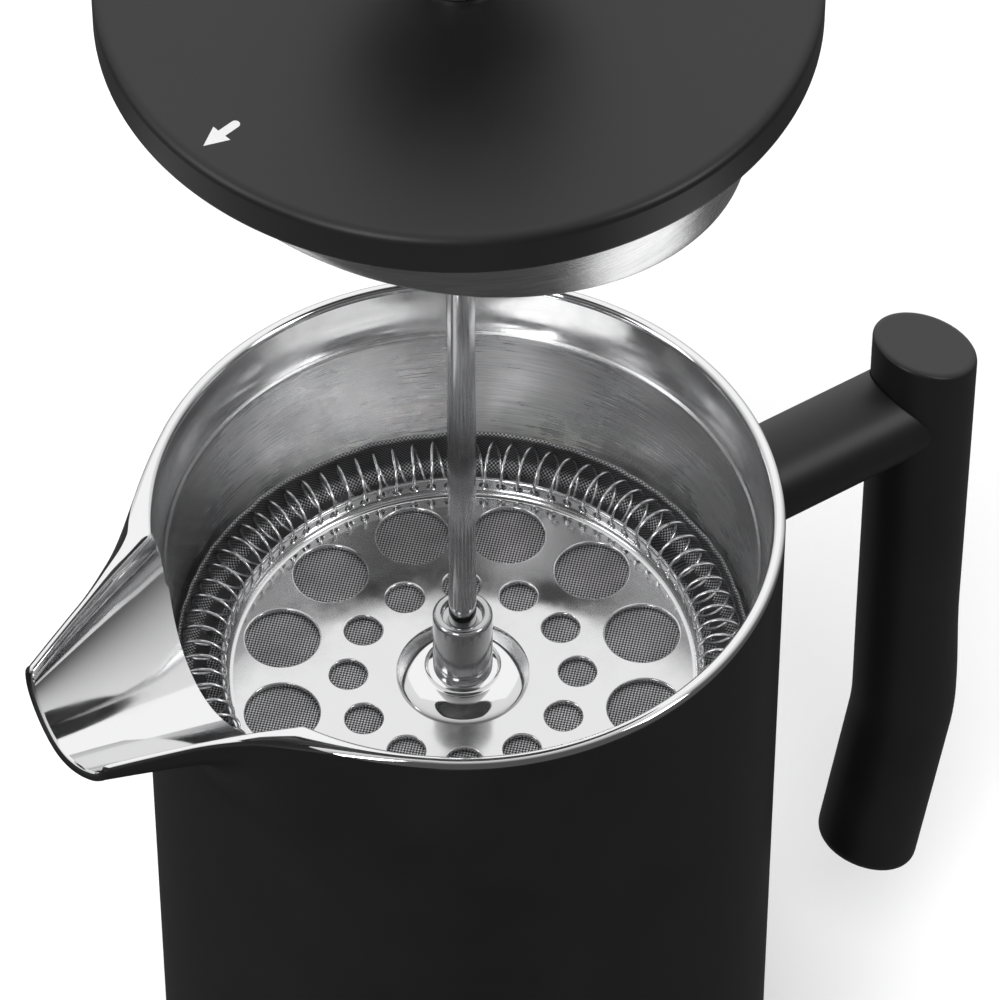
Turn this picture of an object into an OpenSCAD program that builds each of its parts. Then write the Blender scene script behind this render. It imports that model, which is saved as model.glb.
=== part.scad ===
// French press: a double-walled steel pot with a poured spout and a bar handle,
// a lid that turns on a guide bush, and a plunger with a sprung mesh filter.
// The origin is the centre of the base's underside. +X points to the handle,
// -X to the spout and +Z up. The lid hangs raised, under the plunger's knob.

/* [Pot] */
// Outside radius of the pot
pot_r = 54.5; // [54:0.5:56]
// Inside radius of the liner
liner_r = 50; // [49.5:0.25:50]
// Height of the rim above the base
rim_z = 187; // [182:1:200]
// Height of the coffee chamber's floor above the base
floor_z = 9; // [7:0.5:10]
// Thickness of the steel sheet
sheet_t = 0.8; // [0.6:0.1:0.9]

/* [Spout] */
// Distance of the spout's tip from the pot's axis
tip_x = 79.2; // [76:0.4:82]
// Half the width of the channel at the tip
tip_half_w = 10.6; // [9:0.1:11]
// Depth of the channel's floor below the rim, at the tip
tip_depth = 11.2; // [9.4:0.2:13]
// Drop of the spout's lips below the rim, at the tip
lip_drop = 3.5; // [1:0.5:4]
// Widening of the channel's half width for each millimetre towards the pot
spout_flare = 0.42; // [0.4:0.01:0.44]

/* [Handle] */
// Distance of the bar's axis from the pot's axis
bar_x = 95.8; // [92:0.1:100]
// Radius of the bar
bar_r = 9.3; // [8.8:0.1:10]
// Thickening of the bar's lower end, on the side away from the pot
bar_grow = 1.2; // [0:0.1:1.5]
// Radius of the arm between the pot and the bar
arm_r = 8.6; // [7.5:0.1:8.6]
// Depth of the arm's axis below the rim
arm_drop = 29.2; // [27:0.1:34]
// Inward bend of the bar's lower end, in degrees
bend_angle = 10; // [6:1:14]

/* [Lid] */
// Radius of the lid's cap
cap_r = 56.8; // [56:0.1:58]
// Height of the lid's cap
cap_h = 7.6; // [7.5:0.1:9]
// Height of the cap's underside above the rim, as drawn
lid_lift = 120; // [100:1:122]
// Radius of the collar where it leaves the cap
collar_top_r = 49.2; // [48:0.1:49.2]
// Radius that the collar would have at its lowest point
collar_low_r = 45.5; // [44:0.1:47]

/* [Plunger] */
// Depth of the filter plate below the rim, as drawn
filter_drop = 42.4; // [40:0.1:48]
// Radius of the rod
rod_r = 2.4; // [2.2:0.1:2.5]
// Radius of the circle of large holes
large_ring_r = 32.3; // [32:0.1:32.6]
// Radius of each large hole
large_hole_r = 6.45; // [5.5:0.05:6.5]
// Radius of the circle of small holes
small_ring_r = 19.8; // [19.5:0.1:20.5]
// Radius of each small hole
small_hole_r = 3.25; // [2.5:0.05:3.3]
// Number of large holes, and of small holes
hole_count = 12; // [10:1:12]
// Radius of the knob
knob_r = 19; // [16:0.5:20]
// Height of the whole oval that the knob's foot is cut from
knob_h = 37; // [32:1:40]

/* [Hidden] */

$fn = 96;
eps = 0.05;            // gap between pieces that are fixed face to face
run = 0.05;            // radial clearance of a running fit

black_coat = "#1c1c1d";
steel = "#b9bbbd";
polished = "#d5d7d9";

bead_r = (pot_r - liner_r - 2.3) / 2;              // half the width of the rim's bead
band_h = 10;                                       // height of the polished band
band_r = pot_r - 2 * bead_r;                       // radius of the band at the top
shell_top = rim_z - 2.25;
foot_round = 3;                                    // rounding of the shell's lower edge
foot_t = 1;                                        // how far the base plate stands proud
shell_low = foot_t;

root_x = 40;                                       // inner end of the cutting shapes
root_depth_gain = 0.26;                            // deepening per mm towards the pot
lip_bend_x = 52;                                   // where the lips start to drop
side_pull = 0.24;                                  // how much the sides pull in below the lips
skin_off_tip = 1.9;
skin_off_root = 4.2;

arm_z = rim_z - arm_drop;
bar_top_z = rim_z - 14.9;
bar_top_slope = 20.4;                              // tilt of the bar's flat top
bend_z = rim_z - 108;
bend_r = 45;
grow_start_z = bend_z + 26;                        // where the bar starts to thicken
bar_end_x = 89.5;
bar_end_z = rim_z - 151.3;
bar_end_slope = 24;
stud_r = 3;

lid_z = rim_z + lid_lift;
cap_round = 1.3;
cap_roof = 2.4;
collar_low_z = lid_z - 29.6;
collar_tilt = 10.8;                                // slope of the collar's lower edge
collar_mid_z = lid_z - 20;                         // height of that edge at the axis
plate_z = lid_z + 1;
screw_count = 3;
screw_ring_r = 31;
screw_r = 1.25;
screw_head_r = 2.7;
screw_head_h = 1.6;
arrow_angle = 191.5;
arrow_r = 49.7;

bush_r = 5.2;
bush_flange_r = 6.6;
bush_flange_h = 1.2;
bush_top_z = lid_z + cap_h + run;
seal_z = lid_z + 4.6;
seal_wire_r = 0.85;
seal_r = rod_r + run + seal_wire_r;

filter_z = rim_z - filter_drop;
plate_t = 1;
plate_r = 41.5;
flange_h = 3.8;
mesh_r = 49.6;
mesh_t = 0.35;
mesh_top = 7.5;
coil_r = 45.6;
coil_turn_r = 3.3;
coil_wire_r = 0.3;
coil_turns = 84;
hub_disc_r = 11.5;
hub_disc_h = 2.2;
hub_nut_r = 5.15;
hub_nut_h = 14;
cross_t = 1;
cross_r = 40;
cross_hole_r = 7;
cross_ring_r = 27;
cross_holes = 8;
nut_af_r = 5;
nut_h = 4.5;
knob_z = lid_z + cap_h + 6.6;                      // the knob's flat foot
knob_foot_angle = 70;                              // how far below its middle the oval is cut
knob_mid_z = knob_z + knob_h / 2 * sin(knob_foot_angle);
insert_r = 4;
insert_h = 16.5;

// Points of an arc about c, from angle a0 to angle a1.
function arc(c, r, a0, a1, n = 8) =
    [for (i = [0:n]) let (a = a0 + (a1 - a0) * i / n) c + r * [cos(a), sin(a)]];

// Half width of the spout's channel, and heights of its lips and floor, at a distance x
// from the pot's axis.
function channel_half_w(x) = tip_half_w + (tip_x - x) * spout_flare;
function channel_lip_z(x) = rim_z - lip_drop * max(0, (x - lip_bend_x) / (tip_x - lip_bend_x));
function channel_floor_z(x) = rim_z - tip_depth - (tip_x - x) * root_depth_gain;

// Cross-section of the channel at x, grown outwards by off and closed above the rim.
function channel_section(x, off, n = 28) =
    let (w = channel_half_w(x) + off, lip = channel_lip_z(x), d = lip - channel_floor_z(x) + off)
    concat([[-x, w, rim_z + 5]],
           [for (i = [0:n]) let (a = 180 * i / n)
               [-x, w * cos(a) * (1 - side_pull * pow(sin(a), 2)), lip - d * sin(a)]],
           [[-x, -w, rim_z + 5]]);

// Closed solid through a list of cross-sections with equal numbers of points.
module loft(sections) {
    points_each = len(sections[0]);
    count = len(sections);
    polyhedron(
        points = [for (s = sections) each s],
        faces = concat(
            [[for (j = [0:points_each - 1]) j]],
            [[for (j = [points_each - 1:-1:0]) (count - 1) * points_each + j]],
            [for (i = [0:count - 2], j = [0:points_each - 1])
                let (a = i * points_each + j, b = i * points_each + (j + 1) % points_each) each
                [[a, b + points_each, b], [a, a + points_each, b + points_each]]]));
}

// The channel's inside, grown by off_root at the pot and by off_tip at the tip.
module channel(off_root, off_tip, x1 = tip_x, steps = 6) {
    loft([for (i = [0:steps]) let (x = root_x + (x1 - root_x) * i / steps)
        channel_section(x, off_root + (off_tip - off_root) * i / steps)]);
}

// Opening that the spout leaves in the pot's walls and rim.
module spout_notch() {
    channel(sheet_t + eps, sheet_t + eps, tip_x + 5);
}

// Everything over the rim and over the lips' slope, with both lowered by drop.
module above_lips(drop) {
    reach = 60;
    translate([-2 * reach, -reach, rim_z - drop]) cube([2 * reach, 2 * reach, reach]);
    translate([-lip_bend_x, 0, rim_z - drop])
        rotate([0, -atan(lip_drop / (tip_x - lip_bend_x)), 0])
        translate([-reach, -reach, 0]) cube([reach, 2 * reach, reach]);
}

// Solid of revolution of a closed outline of [radius, height] points.
module turned(outline) {
    rotate_extrude() polygon(outline);
}

module outer_shell() {
    c_out = [pot_r - foot_round, shell_low + foot_round];
    color(black_coat)
    difference() {
        turned(concat(
            arc(c_out, foot_round, -90, 0),
            [[pot_r, shell_top], [pot_r - sheet_t, shell_top]],
            arc(c_out, foot_round - sheet_t, 0, -90)));
        spout_notch();
        translate([0, 0, arm_z]) rotate([0, 90, 0]) cylinder(r = stud_r + eps, h = pot_r + 5);
    }
}

// Drawn steel cup: floor, brushed wall, a small step and the flared polished band.
module liner() {
    corner_r = 5;
    step_z = rim_z - band_h;
    band = [for (i = [0:6]) let (t = i / 6)
        [liner_r + 0.5 + (band_r - liner_r - 0.5) * pow(t, 1.6), step_z + (band_h - 1.3) * t]];
    inside = concat([[0, floor_z]],
        arc([liner_r - corner_r, floor_z + corner_r], corner_r, -90, 0, 6),
        [[liner_r, step_z - 0.6]], band);
    outside = concat([[0, floor_z - sheet_t]],
        arc([liner_r - corner_r, floor_z + corner_r], corner_r + sheet_t, -90, 0, 6),
        [[liner_r + sheet_t, step_z - 0.6]],
        [for (p = band) p + [sheet_t, 0]]);
    color(steel)
    difference() {
        turned(concat(inside, [for (i = [len(outside) - 1:-1:0]) outside[i]]));
        spout_notch();
    }
}

module base_plate() {
    color(steel) cylinder(r = pot_r - foot_round - eps, h = foot_t + sheet_t);
}

// Rolled bead that joins the two walls, with the shoulders that run out to the spout.
module rim_ring() {
    bead_z = rim_z - bead_r;
    bead_c = pot_r - bead_r;
    color(polished)
    difference() {
        union() {
            turned(concat(
                [[pot_r, shell_top + eps], [pot_r, bead_z]],
                arc([bead_c, bead_z], bead_r, 0, 180, 10),
                [[band_r, rim_z - 1.25], [band_r + sheet_t + 0.1, rim_z - 1.25],
                 [band_r + sheet_t + 0.1, shell_top + eps]]));
            for (side = [-1, 1]) rim_shoulder(side);
        }
        spout_notch();
    }
}

// Flat fillet in plan between the bead and one side of the spout.
module rim_shoulder(side) {
    line_y = function(x) channel_half_w(x) + skin_off_tip;
    join_x = 47.9;
    join = [-join_x, line_y(join_x)];
    out_p = [-join_x - 9, line_y(join_x + 9)];
    pot_p = (pot_r - 0.02) * [cos(127), sin(127)];
    curve = [for (i = [0:10]) let (t = i / 10)
        (1 - t) * (1 - t) * out_p + 2 * t * (1 - t) * join + t * t * pot_p];
    translate([0, 0, shell_top + eps])
    linear_extrude(rim_z - 0.4 - shell_top - eps)
    difference() {
        scale([1, side]) polygon(concat(curve, [[-30, 38], [-42, 20], [-56, 18]]));
        circle(r = band_r + sheet_t + 0.1);
    }
}

module spout_channel() {
    color(polished)
    difference() {
        channel(sheet_t, sheet_t);
        channel(0, 0, tip_x + 5);
        above_lips(0);
        translate([0, 0, rim_z - 60]) cylinder(r = liner_r, h = 80);
    }
}

module spout_skin() {
    color(black_coat)
    difference() {
        channel(skin_off_root, skin_off_tip);
        spout_notch();
        above_lips(rim_z - shell_top);
        translate([0, 0, rim_z - 60]) cylinder(r = pot_r + eps, h = 80);
    }
}

module handle_arm() {
    color(black_coat)
    difference() {
        translate([pot_r - 0.6, 0, arm_z]) rotate([0, 90, 0]) cylinder(r = arm_r, h = bar_x - pot_r);
        translate([0, 0, arm_z]) rotate([0, 90, 0]) cylinder(r = stud_r + eps, h = bar_x);
        translate([0, 0, arm_z - 20]) cylinder(r = pot_r + eps, h = 40);
        translate([bar_x, 0, arm_z - 20]) cylinder(r = bar_r + eps, h = 40);
    }
}

// Ring of the bar's outline after a turn of t degrees round the bend's centre, thickened
// by grow on the side away from the pot.
function bar_ring(t, grow, n = 48) = [for (i = [0:n - 1])
    let (a = 360 * i / n, r = bend_r + bar_r * cos(a) + grow * (1 + cos(a)) / 2)
    [bar_x - bend_r + r * cos(t), -bar_r * sin(a), bend_z - r * sin(t)]];

// The same ring of the unbent bar, at the height z.
function bar_ring_at(z) = [for (p = bar_ring(0, 0)) [p[0], p[1], z]];

// The bar's upper end, a flat cut that falls away from the pot.
function bar_top_ring() = [for (p = bar_ring(0, 0))
    [p[0], p[1], bar_top_z - (p[0] - bar_x) * tan(bar_top_slope)]];

// The bar's lower end: each line of the outline runs on to the slanted plane of the cut.
function bar_low_ring() = let (t = bend_angle, k = tan(bar_end_slope)) [for (p = bar_ring(t, bar_grow))
    let (run_on = (p[2] - bar_end_z + k * (p[0] - bar_end_x)) / (cos(t) + k * sin(t)))
    p - run_on * [sin(t), 0, cos(t)]];

// Round bar: straight, then bent inwards, with both ends cut on a slant.
module handle_bar() {
    bend_steps = 5;
    bend_grow = 0.8 * bar_grow;        // thickening reached where the bend starts
    color(black_coat)
    difference() {
        loft(concat([bar_top_ring(), bar_ring_at(grow_start_z)],
                    [for (i = [0:bend_steps]) let (t = i / bend_steps)
                        bar_ring(bend_angle * t, bend_grow + (bar_grow - bend_grow) * t)],
                    [bar_low_ring()]));
        translate([0, 0, arm_z]) rotate([0, 90, 0]) cylinder(r = stud_r + eps, h = bar_x + 2);
    }
}

// Threaded stud that pulls the bar and the arm against the pot's outer wall.
module handle_stud() {
    start = pot_r - 2.4;
    color(steel)
    translate([start, 0, arm_z]) rotate([0, 90, 0]) cylinder(r = stud_r, h = bar_x + 1.5 - start);
}

// Curved plate behind the outer wall that spreads the handle's load.
module handle_backing_plate() {
    plate_in = pot_r - 2.1;
    color(steel)
    difference() {
        translate([0, 0, arm_z - 13]) rotate([0, 0, -16])
            rotate_extrude(angle = 32) translate([plate_in, 0])
            square([pot_r - sheet_t - eps - plate_in, 26]);
        translate([0, 0, arm_z]) rotate([0, 90, 0]) cylinder(r = stud_r + eps, h = pot_r);
    }
}

module lid_screw_places() {
    for (i = [0:screw_count - 1]) rotate([0, 0, 60 + 360 * i / screw_count])
        translate([screw_ring_r, 0, 0]) children();
}

// Moulded cap: a rounded disc, hollow under its roof, with bosses for the screws.
module lid_cap() {
    skirt_in = collar_top_r + 1.2;
    top = lid_z + cap_h;
    roof = top - cap_roof;
    seat = plate_z + sheet_t + eps;
    boss_r = 12;
    color(black_coat)
    difference() {
        union() {
            turned(concat(
                [[skirt_in, lid_z], [cap_r - 0.6, lid_z], [cap_r, lid_z + 0.6]],
                arc([cap_r - cap_round, top - cap_round], cap_round, 0, 90, 8),
                [[0, top], [0, roof], [skirt_in, roof]]));
            translate([0, 0, seat]) cylinder(r = boss_r, h = roof - seat + 1);
            lid_screw_places() translate([0, 0, seat]) cylinder(r = 3.6, h = roof - seat + 1);
        }
        translate([0, 0, lid_z - 1]) cylinder(r = bush_r + run, h = cap_h + 2);
        lid_screw_places() translate([0, 0, lid_z]) cylinder(r = screw_r + eps, h = roof - lid_z + 0.8);
        translate([0, 0, top - 0.15]) arrow_shape(eps);
    }
}

// Steel collar: a cone that narrows downwards, cut off on a slant.
module lid_collar() {
    slope = (collar_top_r - collar_low_r) / (lid_z - collar_low_z);
    cut = 140;
    color(steel)
    difference() {
        turned([
            [collar_top_r - sheet_t, plate_z - eps], [collar_top_r, plate_z - eps],
            [collar_top_r, lid_z], [collar_top_r - slope * 36, lid_z - 36],
            [collar_top_r - slope * 36 - sheet_t, lid_z - 36], [collar_top_r - sheet_t, lid_z]]);
        translate([0, 0, collar_mid_z]) rotate([0, collar_tilt, 0])
            translate([-cut / 2, -cut / 2, -cut]) cube(cut);
    }
}

// Steel plate that closes the cap from below and carries the collar.
module lid_plate() {
    color(steel)
    difference() {
        translate([0, 0, plate_z]) cylinder(r = collar_top_r, h = sheet_t);
        translate([0, 0, plate_z - 1]) cylinder(r = bush_r + run, h = sheet_t + 2);
        lid_screw_places() translate([0, 0, plate_z - 1]) cylinder(r = screw_r + 0.35, h = sheet_t + 2);
    }
}

// Three pan-head screws that hold the plate and the collar to the cap.
module lid_screws() {
    color(steel)
    lid_screw_places() translate([0, 0, plate_z]) {
        translate([0, 0, -screw_head_h - eps]) difference() {
            cylinder(r = screw_head_r, h = screw_head_h);
            for (a = [0, 90]) rotate([0, 0, a]) translate([-1.5, -0.3, -0.5]) cube([3, 0.6, 1.3]);
        }
        translate([0, 0, -0.1]) cylinder(r = screw_r, h = 4.5);
    }
}

// Arrow that points to the pouring side, in plan, grown by off.
module arrow_shape(off) {
    w = 0.75 + off;
    head = 1.9 + off;
    tail = -3.5 - off;
    tip = 3.8 + off;
    rotate([0, 0, arrow_angle]) translate([arrow_r, 0, 0]) linear_extrude(0.4)
        polygon([[tail, -w], [0, -w], [0, -head], [tip, 0], [0, head], [0, w], [tail, w]]);
}

module arrow_mark() {
    color("#c9c9c9")
    intersection() {
        translate([0, 0, lid_z + cap_h - 0.14]) arrow_shape(0);
        translate([0, 0, lid_z + cap_h - 1]) cylinder(r = cap_r, h = 1.02);
    }
}

// Flanged bush that the lid turns on and the rod slides through.
module guide_bush() {
    bottom_z = plate_z - 2.4;
    color("#8f9194")
    difference() {
        union() {
            translate([0, 0, bottom_z]) cylinder(r = bush_r, h = bush_top_z - bottom_z + 0.2);
            translate([0, 0, bush_top_z]) cylinder(r = bush_flange_r, h = bush_flange_h);
        }
        translate([0, 0, bottom_z - 1]) cylinder(r = rod_r + run, h = 20);
        translate([0, 0, seal_z]) cylinder(r = seal_r + seal_wire_r + run, h = 2 * seal_wire_r + 0.3,
                                           center = true);
        translate([0, 0, plate_z - 1.6]) difference() {
            cylinder(r = bush_r + 1, h = 1.3);
            cylinder(r = bush_r - 0.6, h = 1.3);
        }
    }
}

// Snap ring in the bush's lower groove, which holds the lid on the bush.
module bush_ring() {
    ring_r = bush_r + 2.5;
    color(steel)
    translate([0, 0, plate_z - 1.5])
    difference() {
        cylinder(r = ring_r, h = 1.1);
        translate([0, 0, -1]) cylinder(r = bush_r - 0.55, h = 3);
        translate([0, -1.5, -1]) cube([ring_r + 1, 3, 3]);
    }
}

// Silicone ring in the bush that hugs the rod.
module rod_seal() {
    color("#3a3a3a")
    translate([0, 0, seal_z]) rotate_extrude() translate([seal_r, 0]) circle(r = seal_wire_r, $fn = 32);
}

module rod() {
    low_z = filter_z - 7.5;
    color(polished) translate([0, 0, low_z]) cylinder(r = rod_r, h = knob_z + insert_h - 0.5 - low_z);
}

// Ball-shaped grip, flattened a little and cut flat at its foot.
module knob() {
    steps = 24;
    start = -knob_foot_angle;
    color(black_coat)
    difference() {
        turned(concat([[0, knob_z]],
            [for (i = [0:steps]) let (a = start + (90 - start) * i / steps)
                [knob_r * cos(a), knob_mid_z + knob_h / 2 * sin(a)]]));
        translate([0, 0, knob_z - 1]) cylinder(r = insert_r, h = insert_h + 1.5);
    }
}

// Threaded insert moulded into the knob.
module knob_insert() {
    color("#b89b5e")
    translate([0, 0, knob_z + 0.2])
    difference() {
        cylinder(r = insert_r - eps, h = insert_h);
        translate([0, 0, -1]) cylinder(r = rod_r + run, h = insert_h + 0.5);
    }
}

// Sleeve on the rod between the knob and the lid's bush.
module knob_sleeve() {
    low_z = bush_top_z + bush_flange_h + 0.3;
    color(steel)
    translate([0, 0, low_z])
    difference() {
        cylinder(r = 4.2, h = knob_z - eps - low_z);
        translate([0, 0, -1]) cylinder(r = rod_r + run, h = 20);
    }
}

// Long round nut, with a groove near its top, that clamps the filter stack to the end of the rod.
module hub_nut() {
    low_z = filter_z + hub_disc_h + eps;
    top_z = low_z + hub_nut_h;
    color(polished)
    turned([[rod_r + run, low_z], [hub_nut_r, low_z], [hub_nut_r, top_z - 2.6],
            [hub_nut_r - 0.5, top_z - 2.3], [hub_nut_r - 0.5, top_z - 1.9],
            [hub_nut_r, top_z - 1.6], [hub_nut_r - 0.1, top_z - 0.5],
            [hub_nut_r - 0.8, top_z], [rod_r + 1.3, top_z], [rod_r + run, top_z - 1.4]]);
}

// Domed disc under the nut.
module hub_disc() {
    low_z = filter_z + eps;
    color(polished)
    turned([[rod_r + run, low_z], [hub_disc_r, low_z], [hub_disc_r, low_z + 0.6],
            [hub_disc_r - 1.2, low_z + 1.3], [hub_nut_r + 2.2, filter_z + hub_disc_h],
            [rod_r + run, filter_z + hub_disc_h]]);
}

module hole_circle(count, ring_r, hole_r, first) {
    for (i = [0:count - 1]) rotate([0, 0, first + 360 * i / count]) translate([ring_r, 0, -1])
        cylinder(r = hole_r, h = 3);
}

// Perforated plate with an upturned flange that holds the coil spring.
module filter_plate() {
    pitch = 360 / hole_count;
    color(polished)
    translate([0, 0, filter_z - plate_t])
    difference() {
        turned([[rod_r + run, 0], [plate_r + 0.3, 0], [plate_r + 0.3, flange_h + plate_t],
                [plate_r - 0.5, flange_h + plate_t], [plate_r - 0.5, plate_t + 1],
                [plate_r - 1.5, plate_t], [rod_r + run, plate_t]]);
        hole_circle(hole_count, large_ring_r, large_hole_r, pitch / 2 - 1.7);
        hole_circle(hole_count, small_ring_r, small_hole_r, -1.7);
    }
}

// Ring of wire turns round the plate's edge that presses the mesh to the wall.
module coil_spring() {
    color(steel)
    translate([0, 0, filter_z + 2.6])
    for (i = [0:coil_turns - 1]) rotate([0, 0, 360 * i / coil_turns]) translate([coil_r, 0, 0])
        rotate([90, 0, 0]) rotate_extrude($fn = 24) translate([coil_turn_r, 0])
        circle(r = coil_wire_r, $fn = 16);
}

// Woven screen: a flat disc under the plate, turned up round the coil spring.
module mesh_screen() {
    low_z = filter_z - plate_t - mesh_t - eps;
    lip = filter_z + mesh_top;
    color("#77797b")
    turned([[rod_r + run, low_z], [mesh_r - 2, low_z], [mesh_r, low_z + 2], [mesh_r, lip],
            [mesh_r - mesh_t, lip], [mesh_r - mesh_t, low_z + 2.2],
            [mesh_r - 2.2, low_z + mesh_t], [rod_r + run, low_z + mesh_t]]);
}

// Stiff plate under the screen.
module cross_plate() {
    color(polished)
    translate([0, 0, filter_z - plate_t - mesh_t - 2 * eps - cross_t])
    difference() {
        cylinder(r = cross_r, h = cross_t);
        translate([0, 0, -1]) cylinder(r = rod_r + run, h = 3);
        hole_circle(cross_holes, cross_ring_r, cross_hole_r, 22.5);
    }
}

module filter_nut() {
    top_z = filter_z - plate_t - mesh_t - 3 * eps - cross_t;
    color(steel)
    translate([0, 0, top_z - nut_h])
    difference() {
        cylinder(r = nut_af_r, h = nut_h, $fn = 6);
        translate([0, 0, -1]) cylinder(r = rod_r + run, h = nut_h + 2);
    }
}

outer_shell();
liner();
base_plate();
rim_ring();
spout_channel();
spout_skin();
handle_arm();
handle_bar();
handle_stud();
handle_backing_plate();
lid_cap();
lid_collar();
lid_plate();
lid_screws();
arrow_mark();
guide_bush();
bush_ring();
rod_seal();
rod();
knob();
knob_insert();
knob_sleeve();
hub_nut();
hub_disc();
filter_plate();
coil_spring();
mesh_screen();
cross_plate();
filter_nut();
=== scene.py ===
"""French press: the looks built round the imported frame.

Lengths are in millimetres until make_mesh() turns them into metres. The frame's
origin is the centre of the base's underside, +X points to the handle, -X to the
spout and +Z up.
"""

import math

import bmesh
import bpy
import numpy as np
from mathutils import Matrix, Vector
from mathutils.geometry import delaunay_2d_cdt


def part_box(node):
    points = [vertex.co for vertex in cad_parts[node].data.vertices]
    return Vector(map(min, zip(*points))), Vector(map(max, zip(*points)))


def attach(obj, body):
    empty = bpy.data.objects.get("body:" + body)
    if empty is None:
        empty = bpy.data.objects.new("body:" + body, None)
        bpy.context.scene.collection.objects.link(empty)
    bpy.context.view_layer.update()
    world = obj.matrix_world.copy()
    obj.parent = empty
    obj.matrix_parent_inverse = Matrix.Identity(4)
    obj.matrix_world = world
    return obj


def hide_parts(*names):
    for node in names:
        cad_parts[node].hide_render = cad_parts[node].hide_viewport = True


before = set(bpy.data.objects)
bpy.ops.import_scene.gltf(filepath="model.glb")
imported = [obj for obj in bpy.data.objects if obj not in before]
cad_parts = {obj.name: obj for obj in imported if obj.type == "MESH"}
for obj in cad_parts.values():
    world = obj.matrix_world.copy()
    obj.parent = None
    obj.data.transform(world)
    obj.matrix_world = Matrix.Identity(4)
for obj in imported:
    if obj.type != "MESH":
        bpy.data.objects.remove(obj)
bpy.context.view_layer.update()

MM = 0.001


def low(node, axis):
    """Lowest coordinate of a CAD node along an axis, in millimetres."""
    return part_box(node)[0][axis] / MM


def high(node, axis):
    """Highest coordinate of a CAD node along an axis, in millimetres."""
    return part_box(node)[1][axis] / MM


def span(node):
    """Lowest and highest height of a CAD node, in millimetres."""
    return low(node, 2), high(node, 2)


# ---- main sizes
RIM_Z = high("rim_ring", 2)
POT_R = high("outer_shell", 1)
BEAD_R = 1.1
BAND_R = POT_R - 2 * BEAD_R
LINER_R = 50.0
FLOOR_Z = low("liner", 2) + 0.8     # the liner's floor is as thick as its sheet
STEP_DROP = 10.0                    # of the step in the liner below the rim
STEP_R, STEP_H = LINER_R + 0.5, 0.6
SHELL_TOP = high("outer_shell", 2)
SHEET_T = 0.8                       # thickness of the steel sheet

TIP_X = 77.7                        # distance of the spout's tip from the pot's axis
TIP_BULGE = 1.45                    # how far the tip's edge bulges in its middle
TIP_HALF_W = 11.2
TIP_DEPTH = 11.54                   # of the channel's bottom below the rim
SPOUT_FLARE = 0.42                  # the channel widens towards the pot
SPOUT_FALL = 0.26                   # and gets deeper
SIDE_PULL = 0.24                    # how much the channel's flanks are drawn in
LIP_DROP = 3.4                      # of the lip at the tip
LIP_BEND_X = 53.0                   # where the lip starts to fall

BAR_X = 95.8
BAR_GROW = 1.15
BAR_R = high("handle_bar", 1)
BEND_R = 45.0
BEND_Z = RIM_Z - 108
BEND_ANGLE = math.radians(10)
BAR_TOP_Z = RIM_Z - 14.9
BAR_TOP_TILT = math.tan(math.radians(20.4))
BAR_LOW_X = 89.5
BAR_LOW_Z = RIM_Z - 151.3
BAR_LOW_TILT = math.tan(math.radians(24))
ARM_R = high("handle_arm", 1)
ARM_Z = high("handle_arm", 2) - ARM_R

LID_Z, LID_TOP = span("lid_cap")
CAP_R = high("lid_cap", 1)
COLLAR_TOP_R = high("lid_plate", 1)
COLLAR_SLOPE = 3.7 / 29.6           # how fast the collar narrows downwards
COLLAR_MID_Z = LID_Z - 20
COLLAR_TILT = math.tan(math.radians(10.8))
LID_PLATE_Z = low("lid_plate", 2)
ARROW_R = 49.7
ARROW_TURN = math.radians(191.5)

KNOB_FOOT = 70                      # degrees below its middle where the oval knob is cut
ROD_R = high("rod", 1)
BORE_R = ROD_R + 0.05               # bore of the pieces that the rod goes through
PLATE_Z = low("hub_disc", 2) - 0.05
PLATE_T = 1.0
FLANGE_R = high("filter_plate", 1) - 0.4
FLANGE_TOP = high("filter_plate", 2)
MESH_R = high("mesh_screen", 1)
MESH_TOP = high("mesh_screen", 2)
HOLES = 12                          # in each of the two circles
LARGE_RING_R, LARGE_HOLE_R = 32.3, 6.45
SMALL_RING_R, SMALL_HOLE_R = 19.8, 3.25
HOLE_TURN = math.radians(-1.7)
COIL_TURNS = 84
COIL_R = 44.9
COIL_TURN_R = 3.95
COIL_WIRE_R = 0.31
COIL_Z = PLATE_Z + 3.5
COIL_FIRST = math.radians(1.0)
COIL_PHASE = math.pi


# ---- mesh helpers
def linked(name, data):
    """New object of that data, in the scene."""
    obj = bpy.data.objects.new(name, data)
    bpy.context.scene.collection.objects.link(obj)
    return obj


def make_mesh(name, verts, faces, uvs=None):
    """Object from points and UVs in millimetres."""
    mesh = bpy.data.meshes.new(name)
    mesh.from_pydata((np.asarray(verts, float) * MM).tolist(), [], [list(f) for f in faces])
    if uvs is not None:
        layer = mesh.uv_layers.new(name="UVMap")
        index = np.empty(len(mesh.loops), int)
        mesh.loops.foreach_get("vertex_index", index)
        layer.data.foreach_set("uv", (np.asarray(uvs, float)[index] * MM).astype(np.float32).ravel())
    return linked(name, mesh)


def clean(obj, join=2e-6):
    """Joins doubled points, drops collapsed faces and turns the rest outwards."""
    bm = bmesh.new()
    bm.from_mesh(obj.data)
    bmesh.ops.remove_doubles(bm, verts=bm.verts, dist=join)
    bmesh.ops.dissolve_degenerate(bm, edges=bm.edges, dist=join / 2)
    bmesh.ops.recalc_face_normals(bm, faces=bm.faces)
    bm.to_mesh(obj.data)
    bm.free()


def smooth(obj, angle=35):
    """Smooth shading, except over edges sharper than the angle in degrees."""
    obj.data.shade_smooth()
    obj.data.set_sharp_from_angle(angle=math.radians(angle))


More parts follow.
